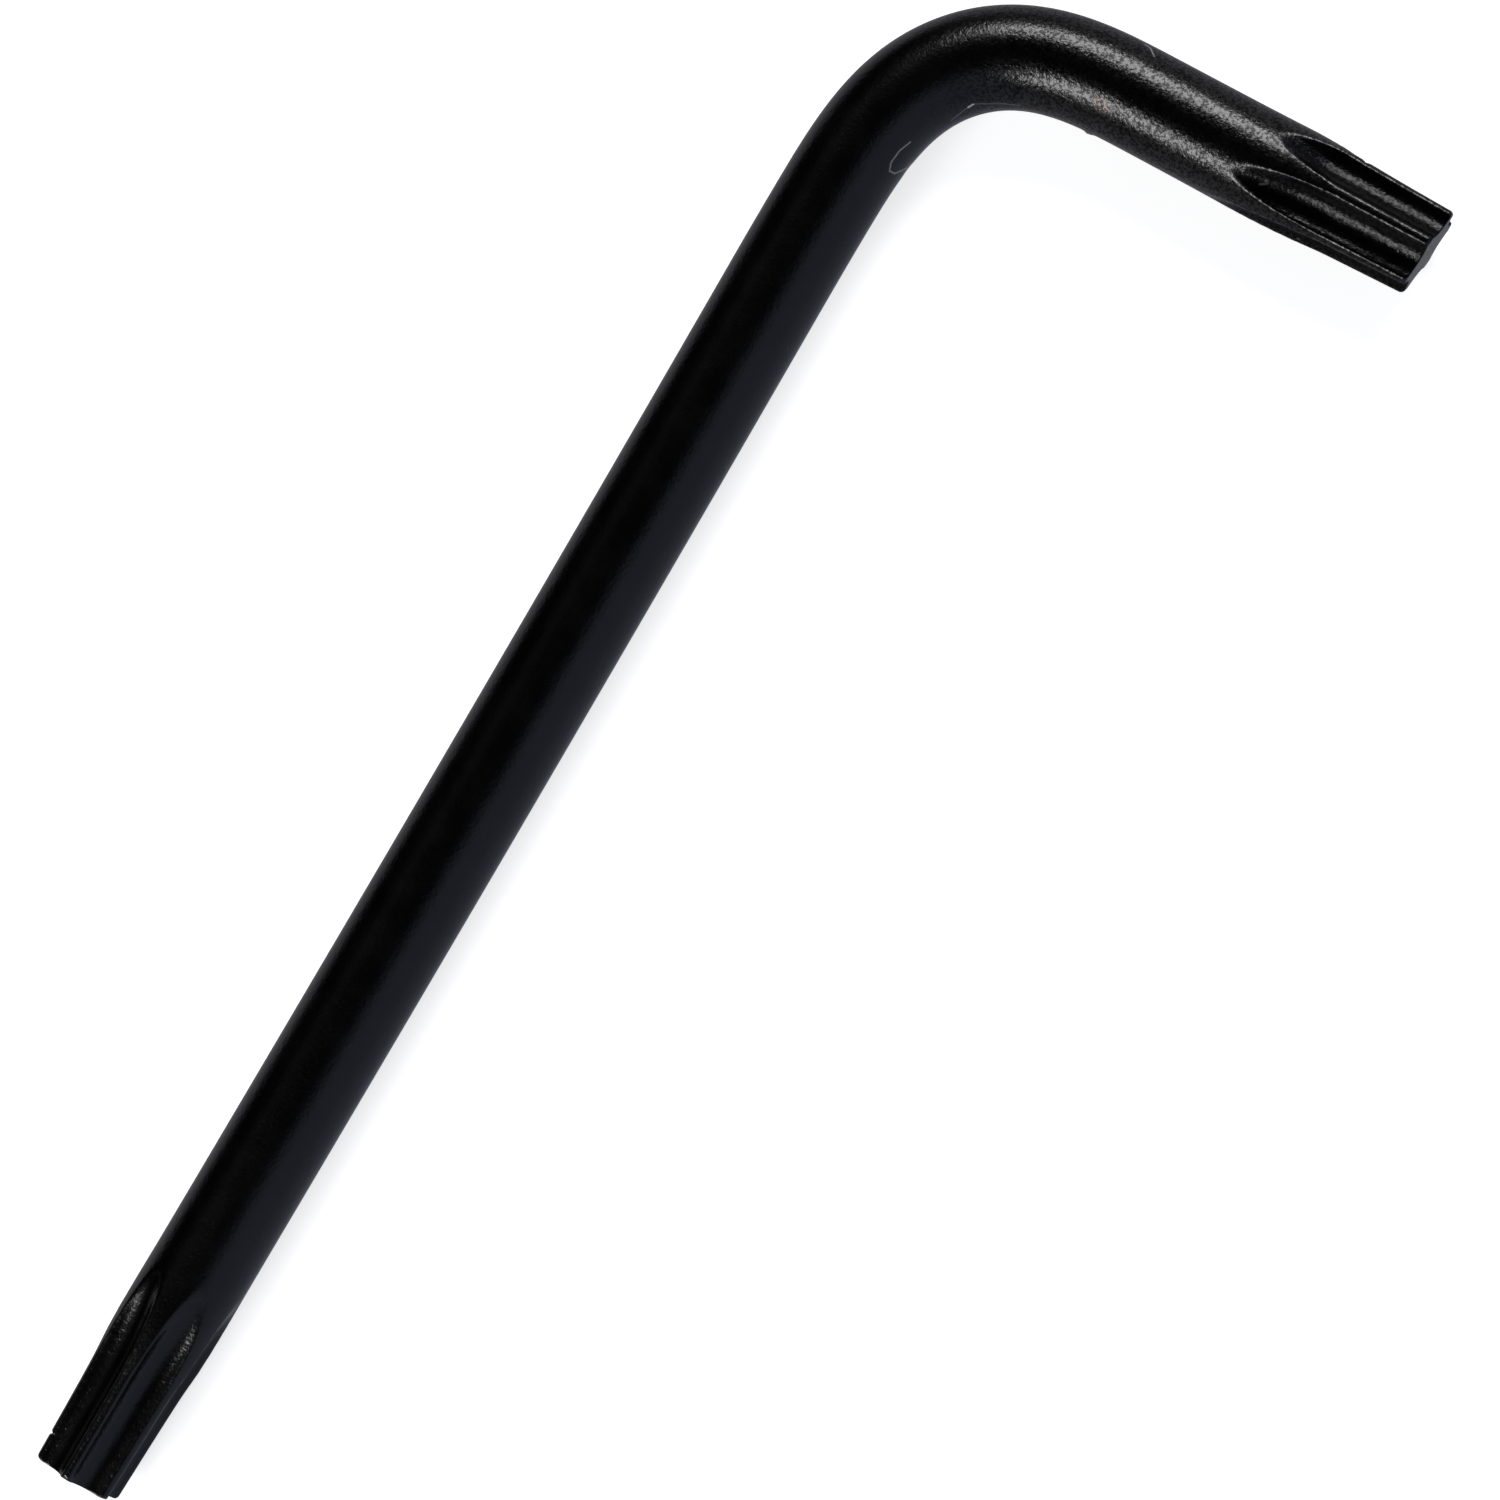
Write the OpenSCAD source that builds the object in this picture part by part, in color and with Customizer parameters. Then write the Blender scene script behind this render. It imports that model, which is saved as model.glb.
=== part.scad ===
// Star-drive key: one round steel rod with a six-lobed star pressed on each
// end, bent once to an L. It lies flat on its side, long arm along +X, short
// arm along +Y, with the middle of its outer box at the origin and its lowest
// line at Z = 0. All sizes are in millimetres.

/* [Rod] */
// Diameter of the round rod
rod_d = 5; // [4.8:0.1:6]
// Overall length along the long arm, over the outside of the short arm
long_reach = 86.5; // [60:0.1:160]
// Overall length along the short arm, over the outside of the long arm
short_reach = 29.3; // [27:0.1:50]
// Radius of the bend, at the middle of the rod
bend_r = 8.6; // [6:0.1:12]

/* [Star] */
// Width of the star across two opposite lobes, at the end of the tip
star_across = 4.5; // [4.2:0.05:4.7]
// Width of the star across two opposite flutes
star_root = 3.25; // [2.9:0.05:3.5]
// Radius of each lobe's rounded crest
lobe_r = 0.38; // [0.34:0.01:0.42]
// Height of the bevel round the end of each tip
end_bevel = 0.25; // [0.1:0.05:0.5]

/* [Long tip] */
// Length of the full-depth flutes on the long arm
long_flute = 7.2; // [4:0.1:12]
// Length over which the long arm's flutes run out to the round rod
long_runout = 3.7; // [3.4:0.1:8]
// Turn of the long arm's star about its own axis, in degrees
long_turn = 2; // [-30:1:30]

/* [Short tip] */
// Length of the full-depth flutes on the short arm
short_flute = 5.5; // [4:0.1:8]
// Length over which the short arm's flutes run out to the round rod
short_runout = 4.2; // [3.4:0.1:6]
// Turn of the short arm's star about its own axis, in degrees
short_turn = 6; // [-30:1:30]

/* [Hidden] */
$fn = 96;
lobes = 6;
rod_r = rod_d / 2;
crest_r = star_across / 2;
root_r = star_root / 2;
pitch = 360 / lobes;
// Where the arms' axes cross, measured from the middle of the outer box
corner_x = rod_r - long_reach / 2;
corner_y = rod_r - short_reach / 2;
// Length of each arm from that crossing to its end
long_arm = long_reach - rod_r;
short_arm = short_reach - rod_r;
// Each lobe's axis, and how far the flutes bite into the lobes' shoulders
lobe_axis = crest_r - lobe_r;
bite = 0.06;
// Radius of the round flutes, from the star's two widths and the lobes' crests:
// the circle that would touch a crest smaller than the real one by the bite
small_r = lobe_r - bite;
small_axis = crest_r - small_r;
across = small_axis * cos(pitch / 2);
flute_r = (small_axis * small_axis + root_r * root_r - 2 * across * root_r - small_r * small_r)
    / (2 * (small_r - root_r + across));
// How far the core under the crests lies inside them, in crest radii, and its
// radius at the end of the tip
core_drop = 0.6;
core_r = crest_r - core_drop * lobe_r;
// Depth of a flute's floor below the round of the rod
depth = rod_r - root_r;
// Curve where a flute's floor starts to rise: its radius in flute radii, and
// the most that it may be of the one arc that would take up the whole run-out
ease = 5;
ease_most = 0.8;
// Length over which the pointed land between two flutes dips into its lobe
dip = 1;
// Share of the way from the star's width to the rod's at which the land starts
land_share = 1 / 3;
// Start of the taper, back from where the flutes' floors leave the rod
lead = 0.6;
// Overlap of joined solids, reach of a cutter past what it cuts, and the
// outer radius of the ring cutters
lap = 0.5;
wide_r = rod_r + lap;

// Radius of that curve, for a run-out of the given length
function ease_radius(runout) =
    min(ease * flute_r, ease_most * (runout * runout + depth * depth) / (2 * depth));

// Round of a flute's cutter, with its floor that far from the middle
module flute_round(floor_x) {
    translate([floor_x - sign(floor_x) * flute_r, 0]) circle(r = flute_r);
}

// A flute's cutter: straight from past the end, eased into a ramp that
// leaves the rod a run-out's length further back. Its floor lies at +X.
module flute(full, runout) {
    ease_r = ease_radius(runout);
    spare = 2 * ease_r - depth;
    ramp = 2 * atan((runout - sqrt(runout * runout - spare * depth)) / spare);
    ramp_len = (depth + lap) / sin(ramp);
    translate([root_r + ease_r, 0, full]) {
        translate([0, 0, -full - lap]) linear_extrude(full + lap) flute_round(-ease_r);
        rotate([90, 0, 180]) rotate_extrude(angle = ramp) flute_round(ease_r);
        rotate([0, ramp, 0]) linear_extrude(ramp_len) flute_round(-ease_r);
    }
}

// The cuts and crests below stand at one end of the rod, with the tip's end
// at Z = 0 and the rod running up +Z.

// Length of a tip's even taper, and the radius that it gains each millimetre
function taper(full, runout) = full + runout + lead;
function draft(full, runout) = (rod_r - crest_r) / taper(full, runout);

// Turns the end of the rod down to the core, with the taper of the lands
module turning(full, runout) {
    start_r = crest_r + draft(full, runout) * full;
    land_r = start_r + (rod_r - start_r) * land_share;
    land_z = full + dip / 2;
    rise = (rod_r - land_r) / (taper(full, runout) - land_z);
    back_r = core_r + draft(full, runout) * (full - dip);
    rotate_extrude() polygon([[core_r, -2 * lap], [core_r, 0], [back_r, full - dip], [land_r, land_z],
        [rod_r + rise * lap, taper(full, runout) + lap], [wide_r, taper(full, runout) + lap],
        [wide_r, -2 * lap]]);
}

// Six rounded crests along the core, leaning out with the taper
module crests(full, runout) {
    for (i = [0 : lobes - 1])
        rotate(i * pitch) translate([lobe_axis, 0, 0]) rotate([0, atan(draft(full, runout)), 0])
            translate([0, 0, -lap]) cylinder(h = full + dip + lap, r = lobe_r);
}

// Six flutes between the crests, and the flat end with the bevel round it
module star_cuts(full, runout) {
    for (i = [0 : lobes - 1])
        rotate((i + 0.5) * pitch) flute(full, runout);
    rotate_extrude() polygon([[0, -2 * lap], [wide_r, -2 * lap], [wide_r, wide_r - crest_r + end_bevel],
        [crest_r - end_bevel, 0], [0, 0]]);
}

// Places a cut or a crest at the end of the long arm, or of the short arm
module at_long_end() {
    translate([long_arm, 0, 0]) rotate([0, -90, 0]) rotate(long_turn) children();
}
module at_short_end() {
    translate([0, short_arm, 0]) rotate([90, 0, 0]) rotate(90 + short_turn) children();
}

// The plain bent rod, a little too long at both ends
module rod() {
    translate([bend_r, 0, 0]) rotate([0, 90, 0]) cylinder(h = long_arm - bend_r + lap, r = rod_r);
    translate([bend_r, bend_r, 0]) rotate(180) rotate_extrude(angle = 90)
        translate([bend_r, 0]) circle(r = rod_r);
    translate([0, bend_r, 0]) rotate([-90, 0, 0]) cylinder(h = short_arm - bend_r + lap, r = rod_r);
}

// The whole key, in one piece
module key() {
    color([0.09, 0.09, 0.1]) translate([corner_x, corner_y, rod_r]) difference() {
        union() {
            difference() {
                rod();
                at_long_end() turning(long_flute, long_runout);
                at_short_end() turning(short_flute, short_runout);
            }
            at_long_end() crests(long_flute, long_runout);
            at_short_end() crests(short_flute, short_runout);
        }
        at_long_end() star_cuts(long_flute, long_runout);
        at_short_end() star_cuts(short_flute, short_runout);
    }
}

key();
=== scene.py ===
import math

import bpy
import numpy as np
from mathutils import Euler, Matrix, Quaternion, Vector


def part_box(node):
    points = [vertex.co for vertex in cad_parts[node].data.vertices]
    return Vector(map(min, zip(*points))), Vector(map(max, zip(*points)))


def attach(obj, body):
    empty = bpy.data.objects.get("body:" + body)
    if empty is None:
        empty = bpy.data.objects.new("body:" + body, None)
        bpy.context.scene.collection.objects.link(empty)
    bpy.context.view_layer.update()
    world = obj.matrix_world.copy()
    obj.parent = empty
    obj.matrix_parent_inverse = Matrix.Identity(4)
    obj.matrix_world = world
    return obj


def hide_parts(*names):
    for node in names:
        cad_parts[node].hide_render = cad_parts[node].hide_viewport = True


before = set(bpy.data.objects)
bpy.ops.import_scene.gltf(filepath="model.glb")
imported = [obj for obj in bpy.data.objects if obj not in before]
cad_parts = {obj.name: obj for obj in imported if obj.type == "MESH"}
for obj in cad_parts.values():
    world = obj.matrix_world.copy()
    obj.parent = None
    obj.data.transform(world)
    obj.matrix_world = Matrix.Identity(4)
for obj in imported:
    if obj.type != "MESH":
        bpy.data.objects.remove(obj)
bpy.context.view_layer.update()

scene = bpy.context.scene


# ---- Key ------------------------------------------------------------------
# One round rod of hardened steel. A star of six lobes is pressed on each end
# while the rod is straight, the rod is then bent once round a former, and the
# whole key is blackened in a hot bath.

mm = 0.001
key_low, key_high = (np.array(corner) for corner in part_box("key"))
rod_r = (key_high[2] - key_low[2]) / 2
arms_cross = np.array([key_low[0] + rod_r, key_low[1] + rod_r, rod_r])
long_arm = key_high[0] - arms_cross[0]
short_arm = key_high[1] - arms_cross[1]

# The bend eases in and out of the straight arms, as cold bent steel does.
bend_r = 7.6 * mm               # radius at the middle of the bend
bend_ease = 9.55 * mm           # length over which each end of the bend eases in
bend_arc = bend_r * math.pi / 2
bend_len = bend_arc + bend_ease


def smooth(x):
    """0 below 0 and 1 above 1, with the cubic 3x^2 - 2x^3 between them."""
    x = np.clip(x, 0, 1)
    return x * x * (3 - 2 * x)


def running_sum(values, step):
    """The integral of evenly spaced values from the first of them, by the trapezium rule."""
    return np.concatenate([[0.0], np.cumsum((values[1:] + values[:-1]) / 2) * step])


def bend_share(from_middle):
    """1 round the middle of the bend, and eased to 0 over bend_ease at each end of it."""
    return smooth((bend_arc / 2 - np.abs(from_middle)) / bend_ease + 0.5)


# The bend worked out in fine steps: how far it has turned, and how far it has
# gone back along the long arm and out along the short one.
fine_count = 4001
fine = np.linspace(-bend_len / 2, bend_len / 2, fine_count)
fine_step = fine[1] - fine[0]
fine_turn = running_sum(bend_share(fine) / bend_r, fine_step)
fine_back = running_sum(np.cos(fine_turn), fine_step)
fine_out = running_sum(np.sin(fine_turn), fine_step)
long_plain = long_arm - fine_back[-1]
short_plain = short_arm - fine_out[-1]
rod_len = long_plain + bend_len + short_plain
bend_middle = long_plain + bend_len / 2


def centre_line(s):
    """Points on the rod's axis and its turn there, a distance s from the end of the long tip.

    The axis runs straight down the long arm, through the summed bend, and straight up the short arm.
    """
    from_middle = np.clip(s - bend_middle, fine[0], fine[-1])
    past_bend = np.maximum(s - long_plain - bend_len, 0)
    back = np.minimum(s, long_plain) + np.interp(from_middle, fine, fine_back)
    out = np.interp(from_middle, fine, fine_out) + past_bend
    turn = np.interp(from_middle, fine, fine_turn)
    x = arms_cross[0] + long_arm - back
    y = arms_cross[1] + out
    return np.stack([x, y, np.full_like(x, rod_r)], axis=-1), turn


# The star's outline. Each flute is a round that touches the lobes on both
# sides of it, so the axes of a lobe and a flute are their two radii apart.
lobes = 6
star_r = 2.31 * mm              # middle of the rod to a lobe's crest, at the end
root_r = 1.625 * mm             # middle of the rod to a flute's floor
lobe_r = 0.28 * mm              # round of a lobe's crest
lobe_axis = star_r - lobe_r
pitch = 2 * math.pi / lobes
lobe_along = lobe_axis * math.cos(pitch / 2)    # a lobe's axis, seen along the middle of a flute
flute_r = lobe_axis**2 + root_r**2 - 2 * lobe_along * root_r - lobe_r**2
flute_r = flute_r / (2 * (lobe_r - root_r + lobe_along))
touch = lobe_r / (lobe_r + flute_r)             # where they touch, as a share from axis to axis
touch_out = lobe_axis + ((root_r + flute_r) * math.cos(pitch / 2) - lobe_axis) * touch
touch_across = (root_r + flute_r) * math.sin(pitch / 2) * touch
touch_angle = math.atan2(touch_across, touch_out)

# How the flutes run out to the round rod. Their noses are where they end.
long_nose = 11.0 * mm           # end of the long tip to its noses
long_slope = 0.26               # rise of a flute's floor where it meets its nose, on the long tip
long_ease = 0.65 * mm           # rounding of the floor where it starts to rise, on each tip
short_ease = 0.25 * mm
long_nose_soft = 0.25 * mm      # rounding of the rims round the noses, on each tip
short_nose_soft = 0.07 * mm
short_nose = 9.1 * mm           # end of the short tip to its noses, at its top
short_askew = 1.3 * mm          # how much further they lie on its inner side, and nearer on its outer
short_full = 5.6 * mm           # end of the short tip to where its flutes' floors start to rise
short_widening = 0.05 * mm      # how far those floors have widened out by there
rim_soft = 0.07 * mm            # rounding of the rims of the flutes elsewhere

# The lands between the flutes' run-outs: a cone with a slight swell on it.
taper_past_nose = 0.6 * mm      # how far past the noses the cone reaches the round of the rod
cone_soft = 0.03 * mm           # rounding where it does
swell = 0.09 * mm               # how far the lands stand out of the cone
swell_len = 2.6 * mm
swell_share = 0.73              # where they stand out most, as a share of the way to the nose

# The ends of the tips. A slope is that of the end face: longer on the inner
# side, or at the top, where it is above 0.
end_bevel = 0.16 * mm
bevel_soft = 0.08 * mm          # rounding behind the bevel
end_round = 0.07 * mm           # rounding in front of it
long_skew = -0.02               # slope from the outer to the inner side, on each tip
short_skew = -0.08
long_lean = -0.09               # slope from the bottom to the top, on each tip
short_lean = 0.06
skew_len = 3 * mm               # length over which an end's slope fades in
long_extra = 0.09 * mm          # how far the long tip reaches past the plain solid's end

# Where wear shows on the star: within edge_reach of a rim, and less along the
# straight flutes than round their run-outs.
edge_reach = 0.10 * mm
straight_wear = 0.35            # share of the wear there
run_out_rise = 0.4 * mm         # rise of a floor at which its rims wear fully
pressed_depth = 0.25 * mm       # depth below the land at which the surface counts as pressed


def soft_min(a, b, reach):
    """The smaller of two lengths, with the corner between them rounded where they differ by under reach.

    There the smaller one loses a quarter of reach times the square of the share of reach that is left.
    """
    near = np.clip(reach - np.abs(a - b), 0, None) / reach
    return np.minimum(a, b) - near * near * reach / 4


def soft_max(a, b, reach):
    """The larger of two lengths, rounded as soft_min is."""
    return -soft_min(-a, -b, reach)


def flute_radius(floor, from_floor):
    """Radius of a round flute at an angle from its floor, with its floor that far from the rod's middle.

    It is the near side of a circle of radius flute_r, and leaves the rod steeply past the circle's side.
    """
    steepness = 4
    middle = floor + flute_r
    left = flute_r**2 - (middle * np.sin(from_floor)) ** 2
    near_side = middle * np.cos(from_floor) - np.sqrt(np.clip(left, 0, None))
    return near_side + steepness * np.sqrt(np.clip(-left, 0, None))


def tip_radius(from_end, nose, nose_soft, slope, ease, from_lobe):
    """Radius of a tip a distance from_end from its end, how near its surface is to an edge and how far
    it lies inside the pressed star. from_lobe is the angle from the nearest lobe.

    The star is a round crest up to touch_angle and a round flute past it. The flute climbs its ramp and
    takes the crest up with it, and the star is cut off by the cone of the lands and bevelled at the end.
    The rims take up the rounding of the noses over the last third of the way to them.
    """
    cone = star_r + (rod_r - star_r) * from_end / (nose + taper_past_nose)
    swelling = swell * np.exp(-((from_end - swell_share * nose) / swell_len) ** 2)
    land = soft_min(cone, rod_r, cone_soft) + swelling
    ramp = rod_r - slope * (nose - from_end)
    floor = soft_max(ramp, root_r + cone - star_r, ease)
    crest = lobe_axis * np.cos(from_lobe)
    crest = crest + np.sqrt(np.clip(lobe_r**2 - (lobe_axis * np.sin(from_lobe)) ** 2, 0, None))
    flute = flute_radius(floor, pitch / 2 - np.abs(from_lobe))
    rise = flute_radius(floor, pitch / 2 - touch_angle) - flute_radius(root_r, pitch / 2 - touch_angle)
    star = np.where(np.abs(from_lobe) < touch_angle, crest + rise, flute)
    inside = smooth((land - star) / pressed_depth)
    ramped = smooth((floor - root_r) / run_out_rise)
    edge = np.clip(1 - np.abs(land - star) / edge_reach, 0, 1)
    edge = edge * (straight_wear + (1 - straight_wear) * ramped)
    soft = rim_soft + (nose_soft - rim_soft) * smooth(from_end / nose * 3 - 2)
    radius = soft_min(land, star, soft)
    bevelled = soft_min(radius, star_r - end_bevel + from_end, bevel_soft)
    rounding = end_round - np.clip(from_end, 0, end_round)
    return bevelled - end_round + np.sqrt(end_round**2 - rounding**2), edge, inside


# Small dents (or burrs, where below 0): distance along the rod, distance round
# it from the top to the outer side, depth and reach each way, in millimetres.
nick = (1.42, 2.6, 0.12, 0.07, 0.28)
bend_dent = (76.1, -4.4, 0.08, 0.30, 0.30)
burr = (89.6, -4.35, -0.08, 0.20, 0.30)
flute_dent = (102.4, 2.9, 0.06, 0.12, 0.30)

# The mesh: its rings lie closest at the ends, the nick, the tips and the bend.
fine_rows = 20001               # places along the rod at which the spacing is worked out
plain_step = 0.7 * mm           # spacing on the straight arms
bend_step = 0.2 * mm
tip_step = 0.11 * mm
close_step = 0.03 * mm          # spacing at the nick and at the bevels
rim_step = 0.012 * mm           # spacing at the rounding of the end faces' rims
past_bend_share = 0.52          # half of the bend's length and a little more, as a share of it
past_nose = 1.5 * mm
near_nick = 0.25 * mm
near_end = 0.35 * mm
columns_per_lobe = 33
crowding = 0.45                 # how much closer together the columns are on the lobes, as a share
end_rings = 13                  # rings over each flat end


def row_places():
    """Distances of the mesh's rings from the long tip's end.

    The inverse of the spacing is summed along the rod, and the rings lie where the sum is a whole number.
    """
    s = np.linspace(0, rod_len, fine_rows)
    from_end = np.minimum(s, rod_len - s)
    step = np.full_like(s, plain_step)
    step = np.where(np.abs(s - bend_middle) < past_bend_share * bend_len, bend_step, step)
    step = np.where(from_end < long_nose + past_nose, tip_step, step)
    step = np.where(np.abs(s - nick[0] * mm) < near_nick, close_step, step)
    step = np.where(from_end < near_end, close_step, step)
    step = np.where(from_end < end_round, rim_step, step)
    count = running_sum(1 / step, s[1] - s[0])
    return np.interp(np.linspace(0, count[-1], round(count[-1])), count, s)


def column_angles():
    """Angles of the mesh's columns round the rod from a lobe, from half a turn before it.

    They are even shares of a turn, less a sine with one wave to each lobe.
    """
    share = np.arange(columns_per_lobe * lobes) / columns_per_lobe
    angle = share - crowding * np.sin(2 * math.pi * share) / (2 * math.pi)
    return angle * pitch - math.pi


# How the stars are turned, and how the rod departs from a straight round one.
long_phase = math.radians(87)   # place of the lobe that faces up, from the inner side over the top
short_phase = math.radians(93)
phase_start = 2 * mm            # past the long tip's noses, where the one starts to turn to the other
rod_spread = 0.008              # how much wider than tall the rod is
bend_spread = 0.018             # the same, as pressed by the former in the bend
bow = 0.17 * mm                 # how far the long arm's ends lie to the outer side of its middle
bow_middle = 38 * mm
bow_inward = 0.3                # share of the bow by which its middle lies to the inner side
bow_fade = 68 * mm              # where the bow starts to fade out before the bend
bow_fade_len = 10 * mm


def key_surface():
    """Grid of points over the whole key, rings along the rod by columns round it.

    A point is the rod's axis plus the radius at its angle, in the plane square to the axis. At each end
    the last ring shrinks to the middle, and closes it. The short tip's noses lie askew by a cosine round
    it, the stars' places are blended along the rod, the bow is a parabola along the long arm, and each
    dent is a bell curve both ways. Also returned, for each point: the distance along the rod, the
    distance round it from the top to the outer side, the nearness to an edge and how far the point lies
    inside a pressed star.
    """
    rings = row_places()
    shrink = np.linspace(0, 1, end_rings + 1)[:-1]
    s = np.concatenate([np.zeros_like(shrink), rings, np.full_like(shrink, rod_len)])[:, None]
    share = np.concatenate([shrink, np.ones_like(rings), shrink[::-1]])[:, None]
    columns = column_angles()[None, :]
    from_lobe = (columns + pitch / 2) % pitch - pitch / 2

    long_tip = tip_radius(s, long_nose, long_nose_soft, long_slope, long_ease, from_lobe)
    nose = short_nose + short_askew * np.cos(columns + math.pi / 2)
    slope = (rod_r - root_r - short_widening) / (nose - short_full)
    short_tip = tip_radius(rod_len - s, nose, short_nose_soft, slope, short_ease, from_lobe)
    long_half = s < bend_middle
    radius, edge, inside = (np.where(long_half, long, short) for long, short in zip(long_tip, short_tip))

    turned = smooth((s - long_nose - phase_start) / bend_middle)
    angle = long_phase + (short_phase - long_phase) * turned + columns
    round_it = rod_r * (angle - math.pi / 2)
    for along, across, depth, reach_along, reach_across in (nick, bend_dent, burr, flute_dent):
        away = ((s / mm - along) / reach_along) ** 2 + ((round_it / mm - across) / reach_across) ** 2
        radius = radius - depth * mm * np.exp(-away)

    middle, turn = centre_line(s)
    inner = np.stack([np.sin(turn), np.cos(turn), np.zeros_like(turn)], axis=-1)
    onward = np.stack([-np.cos(turn), np.sin(turn), np.zeros_like(turn)], axis=-1)
    wide = 1 + rod_spread + (bend_spread - rod_spread) * bend_share(s - bend_middle)
    aside = share * radius * np.cos(angle) * wide
    upward = share * radius * np.sin(angle)
    bowed = bow * (bow_inward - (s / bow_middle - 1) ** 2)
    bowed = bowed * (1 - smooth((s - bow_fade) / bow_fade_len))
    at_long = smooth(1 - s / skew_len)
    at_short = smooth(1 - (rod_len - s) / skew_len)
    slant = at_short * (short_skew * aside + short_lean * upward)
    slant = slant - at_long * (long_skew * aside + long_lean * upward + long_extra)
    points = middle + (aside + bowed)[..., None] * inner
    points = points + slant[..., None] * onward
    points = points + upward[..., None] * np.array([0, 0, 1.0])
    return points, np.broadcast_to(s, angle.shape), round_it, edge * share, inside * share


def grid_mesh(name, points):
    """A mesh of quads over a grid of points, and the number of its vertex at each of them.

    The grid is joined round its columns, and its first and last ring are each one point, so that the
    surface is closed.
    """
    rows, columns = points.shape[:2]
    number = np.zeros((rows, columns), int)
    number[1:-1] = 1 + np.arange((rows - 2) * columns).reshape(rows - 2, columns)
    number[-1] = 1 + (rows - 2) * columns
    used = np.concatenate([points[0, :1], points[1:-1].reshape(-1, 3), points[-1, :1]])
    beside = np.roll(number, -1, axis=1)
    quads = np.stack([number[:-1], number[1:], beside[1:], beside[:-1]], axis=-1)
    first = quads[0][:, [0, 1, 2]]
    between = quads[1:-1].reshape(-1, 4)
    last = quads[-1][:, [0, 1, 3]]
    mesh = bpy.data.meshes.new(name)
    mesh.from_pydata(used, [], between.tolist() + first.tolist() + last.tolist())
    mesh.polygons.foreach_set("use_smooth", np.ones(len(mesh.polygons), bool))
    return mesh, number


points, along, round_it, edge, inside = key_surface()
key_mesh, number = grid_mesh("key", points)
laid_flat = np.stack([along, round_it, np.zeros_like(along)], axis=-1) / mm
layers = [("edge", "FLOAT", edge), ("pressed", "FLOAT", inside), ("unrolled", "FLOAT_VECTOR", laid_flat)]
for label, kind, values in layers:
    layer = key_mesh.attributes.new(label, kind, "POINT")
    width = 3 if kind == "FLOAT_VECTOR" else 1
    per_point = np.zeros((len(key_mesh.vertices), width))
    per_point[number.ravel()] = values.reshape(-1, width)
    layer.data.foreach_set("vector" if width == 3 else "value", per_point.ravel())
key = bpy.data.objects.new("hex_lobe_key", key_mesh)
scene.collection.objects.link(key)

# The finish. The oxide is thin, near black and half matt, with a fine grain,
# and it is worn a little on the edges.


class Wire:
    """One output of a node. A sum with it adds a Math node, and a number may stand on either side."""

    def __init__(self, graph, socket):
        self.graph = graph
        self.socket = socket

    def maths(self, operation, a, b):
        return self.graph.node("ShaderNodeMath", {"operation": operation}, {0: a, 1: b})["Value"]

    def __add__(self, other):
        return self.maths("ADD", self, other)

    def __sub__(self, other):
        return self.maths("SUBTRACT", self, other)

    def __rsub__(self, other):
        return self.maths("SUBTRACT", other, self)

    def __mul__(self, other):
        return self.maths("MULTIPLY", self, other)

    __radd__ = __add__
    __rmul__ = __mul__


class Graph:
    """The nodes of one material or of the world."""

    def __init__(self, owner):
        owner.use_nodes = True
        self.tree = owner.node_tree
        self.tree.nodes.clear()

    def node(self, kind, settings=None, inputs=None):
        """Adds a node of the given type, sets its settings and then its inputs, each a value or a Wire,
        and returns its outputs by name."""
        node = self.tree.nodes.new(kind)
        for name, value in (settings or {}).items():
            setattr(node, name, value)
        for name, value in (inputs or {}).items():
            shown = [s for s in node.inputs if s.enabled]
            socket = shown[name] if isinstance(name, int) else next(s for s in shown if s.name == name)
            if isinstance(value, Wire):
                self.tree.links.new(value.socket, socket)
            else:
                socket.default_value = value
        return {s.name: Wire(self, s) for s in node.outputs if s.enabled}


oxide = bpy.data.materials.new("black_oxide")
graph = Graph(oxide)

# The functions below add to the graph that is being built.


def noise(size, detail=2.0, roughness=0.5):
    """Noise over the key with features of about the given size, between 0 and 1."""
    return graph.node(
        "ShaderNodeTexNoise",
        {"noise_dimensions": "3D"},
        {"Vector": place, "Scale": 1 / size, "Detail": detail, "Roughness": roughness},
    )["Fac"]


def band(value, low, high):
    """0 where the value is below low, 1 where it is above high, and smooth between them."""
    return graph.node(
        "ShaderNodeMapRange",
        {"interpolation_type": "SMOOTHSTEP"},
        {"Value": value, "From Min": low, "From Max": high},
    )["Result"]


def blend(share, a, b):
    """Colour a where the share is 0 and colour b where it is 1."""
    return graph.node(
        "ShaderNodeMix", {"data_type": "RGBA"}, {"Factor": share, "A": a, "B": b}
    )["Result"]


def clamped(value):
    """The value kept between 0 and 1."""
    return graph.node("ShaderNodeClamp", {}, {"Value": value})["Result"]


def vector_maths(operation, *inputs):
    """The outcome of a Vector Math node."""
    outputs = graph.node("ShaderNodeVectorMath", {"operation": operation}, dict(enumerate(inputs)))
    return next(iter(outputs.values()))


def attribute(name):
    """The outputs of one of the layers of values that the mesh carries."""
    return graph.node("ShaderNodeAttribute", {"attribute_name": name})


def from_line(*corners):
    """Distance over the unrolled surface from a line through the corners, each given as its distance
    along the rod and round it, all in millimetres."""
    nearest = None
    for a, b in zip(corners, corners[1:]):
        start = Vector((*a, 0))
        run = Vector((b[0] - a[0], b[1] - a[1], 0))
        offset = vector_maths("SUBTRACT", unrolled, start)
        share = clamped(vector_maths("DOT_PRODUCT", offset, run / run.length_squared))
        foot = vector_maths("MULTIPLY_ADD", share, run, start)
        distance = vector_maths("DISTANCE", unrolled, foot)
        nearest = distance if nearest is None else nearest.maths("MINIMUM", nearest, distance)
    return nearest


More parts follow.
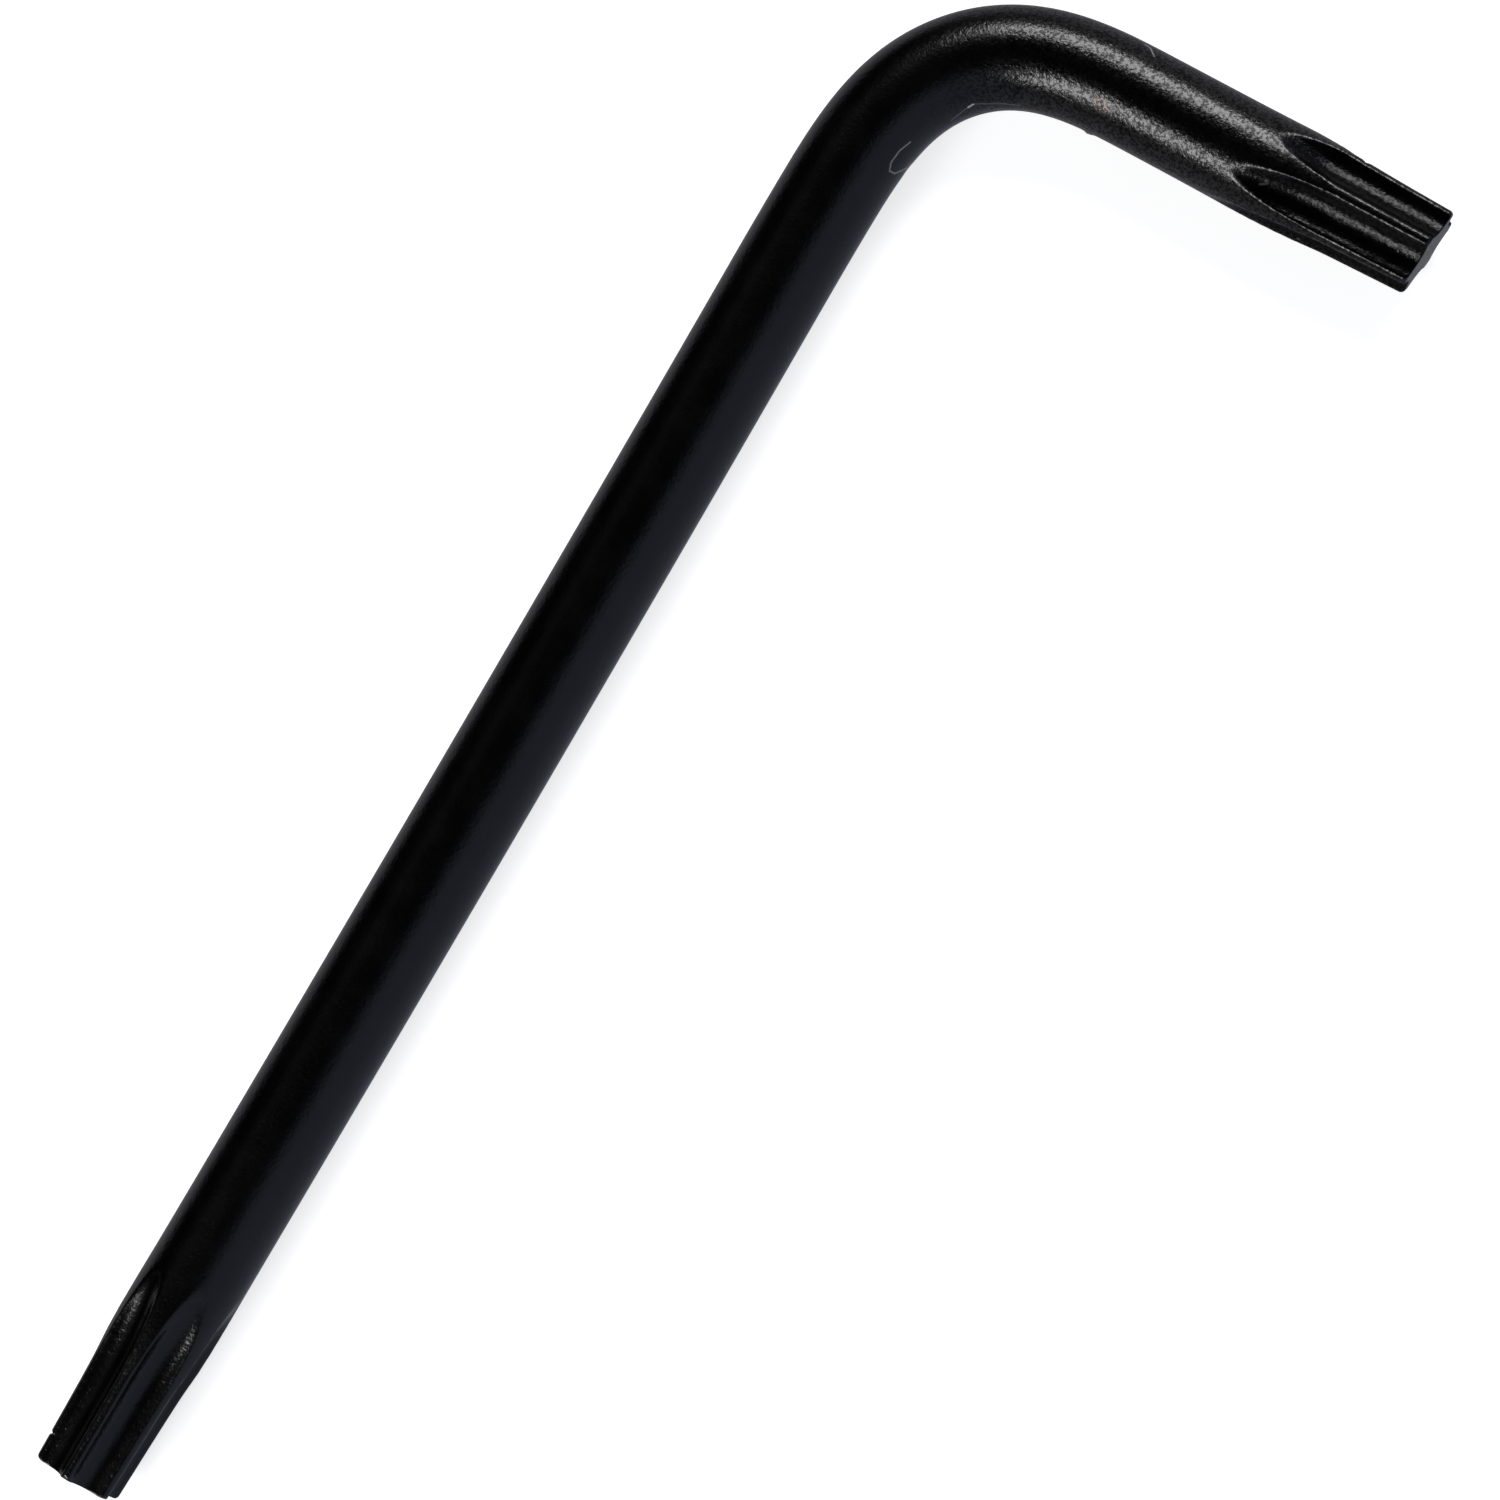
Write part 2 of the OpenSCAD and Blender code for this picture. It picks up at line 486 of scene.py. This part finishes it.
# Places on the key: the distances along the rod are in millimetres.
place = graph.node("ShaderNodeTexCoord")["Object"]
unrolled = attribute("unrolled")["Vector"]
along_rod = graph.node("ShaderNodeSeparateXYZ", {}, {"Vector": unrolled})["X"]
near_edge = attribute("edge")["Fac"]
pressed = attribute("pressed")["Fac"]
by_bend = band(along_rod, 77.0, 86.0)
at_short_tip = band(along_rod, 94.5, 96.0)

# The grain of the oxide, from its fine crystals to the clouds of the bath.
mottle = noise(0.42 * mm)
grain = noise(0.20 * mm, 2.0, 0.6)
fine_grain = noise(0.09 * mm, 1.0)
clouds = noise(1.4 * mm, 3.0)
speckle = noise(0.17 * mm, 2.0, 0.6)

# Marks. A scratch is clear up to the first distance from its line and gone
# past the second one. The crease lies inside the bend, where the former was.
hook = from_line((77.2, -2.65), (76.4, -2.48), (75.6, -2.5), (75.2, -2.75), (75.3, -3.2), (76.0, -3.9))
crease_scratch = from_line((81.7, -3.02), (82.1, -2.92))
outer_scratch = from_line((90.3, 2.72), (90.6, 2.64), (91.1, 2.02))
ridge_scratch = from_line((104.0, -1.05), (104.6, -0.8))
nose_scratch = from_line((98.7, -1.4), (99.0, -1.2), (98.9, -1.0))
scratch = (1 - band(hook, 0.01, 0.08)) * 0.55
scratch = scratch + 1 - band(crease_scratch, 0.03, 0.10)
scratch = scratch + (1 - band(outer_scratch, 0.02, 0.06)) * 0.6
scratch = scratch + (1 - band(ridge_scratch, 0.03, 0.08)) * 0.12
scratch = scratch + (1 - band(nose_scratch, 0.03, 0.08)) * 0.15
scratch = clamped(scratch) * (0.3 + 0.9 * fine_grain)
crease_line = from_line((80.2, -3.46), (82.0, -2.93), (82.3, -2.95), (83.0, -3.12), (85.3, -3.42))
crease = 1 - band(crease_line, 0.02, 0.08)
rust_place = from_line((89.8, -1.45), (90.3, -1.55))
rust = 1 - band(rust_place + 0.5 * grain, 0.35, 0.65)
rust = rust * band(fine_grain + grain, 0.9, 1.15)
worn = band(near_edge * (0.55 + 0.9 * grain), 0.5, 1.0) * (0.15 + 0.85 * at_short_tip)

black = (0.0005, 0.0005, 0.0006, 1)
soft_black = (0.0014, 0.0014, 0.0015, 1)
worn_grey = (0.08, 0.08, 0.082, 1)
crease_grey = (0.10, 0.10, 0.10, 1)
rust_brown = (0.30, 0.15, 0.10, 1)
bare_steel = (0.42, 0.42, 0.41, 1)
colour = blend(band(clouds + 0.5 * grain, 0.6, 1.0), black, soft_black)
colour = blend(worn * 0.3, colour, worn_grey)
colour = blend(crease * 0.5, colour, crease_grey)
colour = blend(rust * 0.9, colour, rust_brown)
colour = blend(scratch, colour, bare_steel)

grain_depth = 0.016 * mm
refractive_index = 1.6          # of the oiled oxide
height = 0.5 * mottle + 1.1 * grain + 0.4 * fine_grain - 0.5 * crease
bump = graph.node("ShaderNodeBump", {}, {"Strength": 1.0, "Distance": grain_depth, "Height": height})
roughness = 0.18 + 0.07 * clouds - 0.03 * pressed


def oxide_layer(shine):
    """The oxide with the given share of its full reflection."""
    return graph.node(
        "ShaderNodeBsdfPrincipled",
        {},
        {
            "Base Color": colour,
            "Metallic": 0.0,
            "Roughness": roughness,
            "IOR": refractive_index,
            "Specular IOR Level": 0.5 * shine,
            "Normal": bump["Normal"],
        },
    )["BSDF"]


# The oxide is dulled to a small share of its reflection: in specks from the bend on, and in the short
# tip's flutes, which reflect less than the long tip's.
specks = 0.85 * band(speckle, 0.42, 0.60) * by_bend * (1 - 0.6 * pressed)
dull_share = specks + 0.70 * pressed * at_short_tip
clean_layer = oxide_layer(1.0)
dull_layer = oxide_layer(0.15)
surface = graph.node("ShaderNodeMixShader", {}, {0: dull_share, 1: clean_layer, 2: dull_layer})["Shader"]
graph.node("ShaderNodeOutputMaterial", {}, {"Surface": surface})
key_mesh.materials.append(oxide)

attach(key, "root")
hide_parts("key")


# ---- Floor ----------------------------------------------------------------
# A plain pale sheet, lit so brightly that it shows white. It isn't mirrored
# in the key, so that the studio round the key can stay dark.

floor_half = 2.0
corners = [(x * floor_half, y * floor_half, 0) for x, y in ((-1, -1), (1, -1), (1, 1), (-1, 1))]
floor_mesh = bpy.data.meshes.new("floor")
floor_mesh.from_pydata(corners, [], [(0, 1, 2, 3)])
floor = bpy.data.objects.new("floor", floor_mesh)
scene.collection.objects.link(floor)
paper = bpy.data.materials.new("paper")
graph = Graph(paper)
sheet = graph.node(
    "ShaderNodeBsdfPrincipled",
    {},
    {
        "Base Color": (0.8, 0.8, 0.8, 1),
        "Roughness": 1.0,
        "Specular IOR Level": 0.0,
        "Emission Color": (1, 1, 1, 1),
        "Emission Strength": 0.75,
    },
)["BSDF"]
graph.node("ShaderNodeOutputMaterial", {}, {"Surface": sheet})
floor_mesh.materials.append(paper)
floor.visible_glossy = False


# ---- Light ----------------------------------------------------------------
# Two soft boxes stand off the ends of the long arm, where the short arm
# mirrors them as two bands. A dim cool wall faces the inner side of the long
# arm, and the rest of the studio is dark.

box_distance = 0.5
bend_place = Vector(arms_cross)


def soft_box(name, bearing, from_up, wide, tall, roll, radiance):
    """A rectangular light that faces the bend. Its bearing is measured from +X towards +Y and its place
    down from overhead, its size is the angle that it fills each way, and roll turns it about its middle.
    All are in degrees."""
    turn = math.radians(bearing)
    tilt = math.radians(from_up)
    way = Vector((math.sin(tilt) * math.cos(turn), math.sin(tilt) * math.sin(turn), math.cos(tilt)))
    light = bpy.data.lights.new(name, "AREA")
    light.shape = "RECTANGLE"
    light.size = 2 * box_distance * math.tan(math.radians(wide / 2))
    light.size_y = 2 * box_distance * math.tan(math.radians(tall / 2))
    light.energy = radiance * math.pi * light.size * light.size_y
    lamp = bpy.data.objects.new(name, light)
    lamp.location = bend_place + way * box_distance
    facing = (-way).to_track_quat("-Z", "Y")
    lamp.rotation_euler = (facing @ Quaternion((0, 0, 1), math.radians(roll))).to_euler()
    scene.collection.objects.link(lamp)


soft_box("far_box", bearing=194, from_up=51, wide=42, tall=24, roll=6, radiance=6.5)
soft_box("near_box", bearing=-10, from_up=55, wide=30, tall=18, roll=-35, radiance=7.4)

# The studio: its walls, what is below the key's height, and what the camera
# sees past the floor. The colours turn cooler towards +Y.
dark = (0.0, 0.0, 0.0, 1)
wall_grey = (0.23, 0.23, 0.24, 1)
wall_blue = (0.20, 0.22, 0.29, 1)
under_grey = (0.27, 0.27, 0.29, 1)
under_blue = (0.23, 0.25, 0.32, 1)
seen_white = (0.9, 0.9, 0.9, 1)
world = bpy.data.worlds.new("studio")
scene.world = world
graph = Graph(world)
outward = graph.node("ShaderNodeTexCoord")["Generated"]
parts = graph.node("ShaderNodeSeparateXYZ", {}, {"Vector": outward})
wall = band(parts["Y"], -0.85, -0.25) * (1 - band(parts["Z"], 0.6, 0.95))
below = band(0 - parts["Z"], -0.05, 0.35)
wall_colour = blend(band(parts["Y"], 0.0, 0.4), wall_grey, wall_blue)
under_colour = blend(band(parts["Y"], -0.1, 0.4), under_grey, under_blue)
shade = blend(wall, dark, wall_colour)
shade = blend(below, shade, under_colour)
seen = graph.node("ShaderNodeLightPath")["Is Camera Ray"]
shade = blend(seen, shade, seen_white)
sky = graph.node("ShaderNodeBackground", {}, {"Color": shade, "Strength": 1.0})["Background"]
graph.node("ShaderNodeOutputWorld", {}, {"Surface": sky})


# ---- Camera ---------------------------------------------------------------
# A long lens looks down on the key from almost overhead, with the long arm
# running from the lower left to the bend at the top.

lens = bpy.data.cameras.new("camera")
lens.sensor_width = 36
lens.lens = 98.56
lens.clip_start = 0.01
lens.clip_end = 10
camera = bpy.data.objects.new("camera", lens)
camera.location = Vector((-7.815, 43.802, 195.439)) * mm
camera.rotation_euler = Euler([math.radians(turn) for turn in (5.906, 11.905, 121.116)], "XYZ")
scene.collection.objects.link(camera)
scene.camera = camera

scene.view_settings.view_transform = "Standard"
